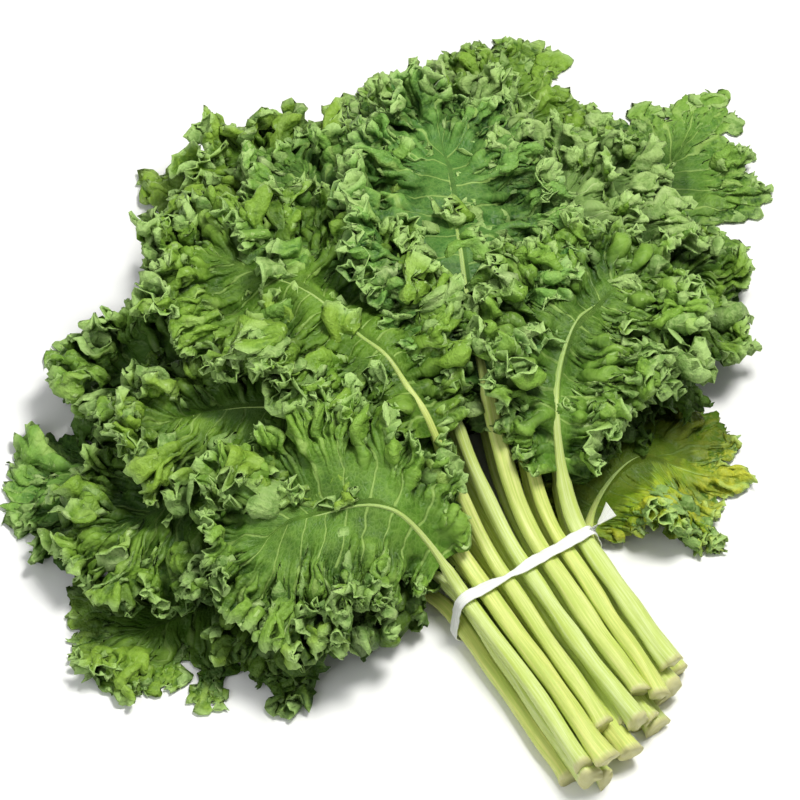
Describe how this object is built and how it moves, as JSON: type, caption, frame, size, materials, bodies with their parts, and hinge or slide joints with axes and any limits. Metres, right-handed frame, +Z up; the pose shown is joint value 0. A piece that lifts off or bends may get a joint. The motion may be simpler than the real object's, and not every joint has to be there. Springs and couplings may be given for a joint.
{
  "type": "kale bunch",
  "caption": "Bunch of green curly kale lying on its side, pale stalks gathered and held by a thin pale strip.",
  "frame": {"origin": "middle of the surface the bunch lies on, under the centre of its bounding box", "axes": "+Z up, away from the surface the bunch lies on; cut stalk ends towards -Y, leaf heads towards +Y, the bunch's longest extent; +X to the right seen from the stalk end"},
  "size_m": [0.3814, 0.4592, 0.107],
  "materials": {
    "leaf_01": "fresh curly kale leaf, satin wax on green, pale rib",
    "leaf_02": "fresh curly kale leaf, satin wax on green, pale rib",
    "leaf_03": "fresh curly kale leaf, satin wax on green, pale rib",
    "leaf_04": "fresh curly kale leaf, satin wax on green, pale rib",
    "leaf_05": "fresh curly kale leaf, satin wax on green, pale rib",
    "leaf_06": "fresh curly kale leaf, satin wax on green, pale rib",
    "leaf_07": "fresh curly kale leaf, satin wax on green, pale rib",
    "leaf_08": "fresh curly kale leaf, satin wax on green, pale rib",
    "leaf_09": "fresh curly kale leaf, satin wax on green, pale rib",
    "leaf_10": "fresh curly kale leaf, satin wax on green, pale rib",
    "leaf_11": "fresh curly kale leaf, satin wax on green, pale rib",
    "leaf_12": "fresh curly kale leaf, satin wax on green, pale rib",
    "leaf_13": "fresh curly kale leaf, satin wax on green, pale rib",
    "leaf_14": "fresh curly kale leaf, satin wax on green, pale rib",
    "leaf_15": "fresh curly kale leaf, satin wax on green, pale rib",
    "leaf_16": "fresh curly kale leaf, satin wax on green, pale rib",
    "leaf_17": "fresh curly kale leaf, satin wax on green, pale rib",
    "leaf_18": "fresh curly kale leaf, satin wax on green, pale rib",
    "leaf_19": "fresh curly kale leaf, satin wax on green, pale rib",
    "leaf_20": "fresh curly kale leaf, satin wax on green, pale rib",
    "leaf_21": "fresh curly kale leaf, satin wax on green, pale rib",
    "leaf_22": "fresh curly kale leaf, satin wax on green, pale rib",
    "tie": "matt pale strip, slightly crumpled"
  },
  "bodies": {
    "root": {"leaf_01": "leaf_01", "leaf_02": "leaf_02", "leaf_03": "leaf_03", "leaf_04": "leaf_04", "leaf_05": "leaf_05", "leaf_06": "leaf_06", "leaf_07": "leaf_07", "leaf_08": "leaf_08", "leaf_09": "leaf_09", "leaf_10": "leaf_10", "leaf_11": "leaf_11", "leaf_12": "leaf_12", "leaf_13": "leaf_13", "leaf_14": "leaf_14", "leaf_15": "leaf_15", "leaf_16": "leaf_16", "leaf_17": "leaf_17", "leaf_18": "leaf_18", "leaf_19": "leaf_19", "leaf_20": "leaf_20", "leaf_21": "leaf_21", "leaf_22": "leaf_22", "tie": "tie"}
  },
  "joints": []
}
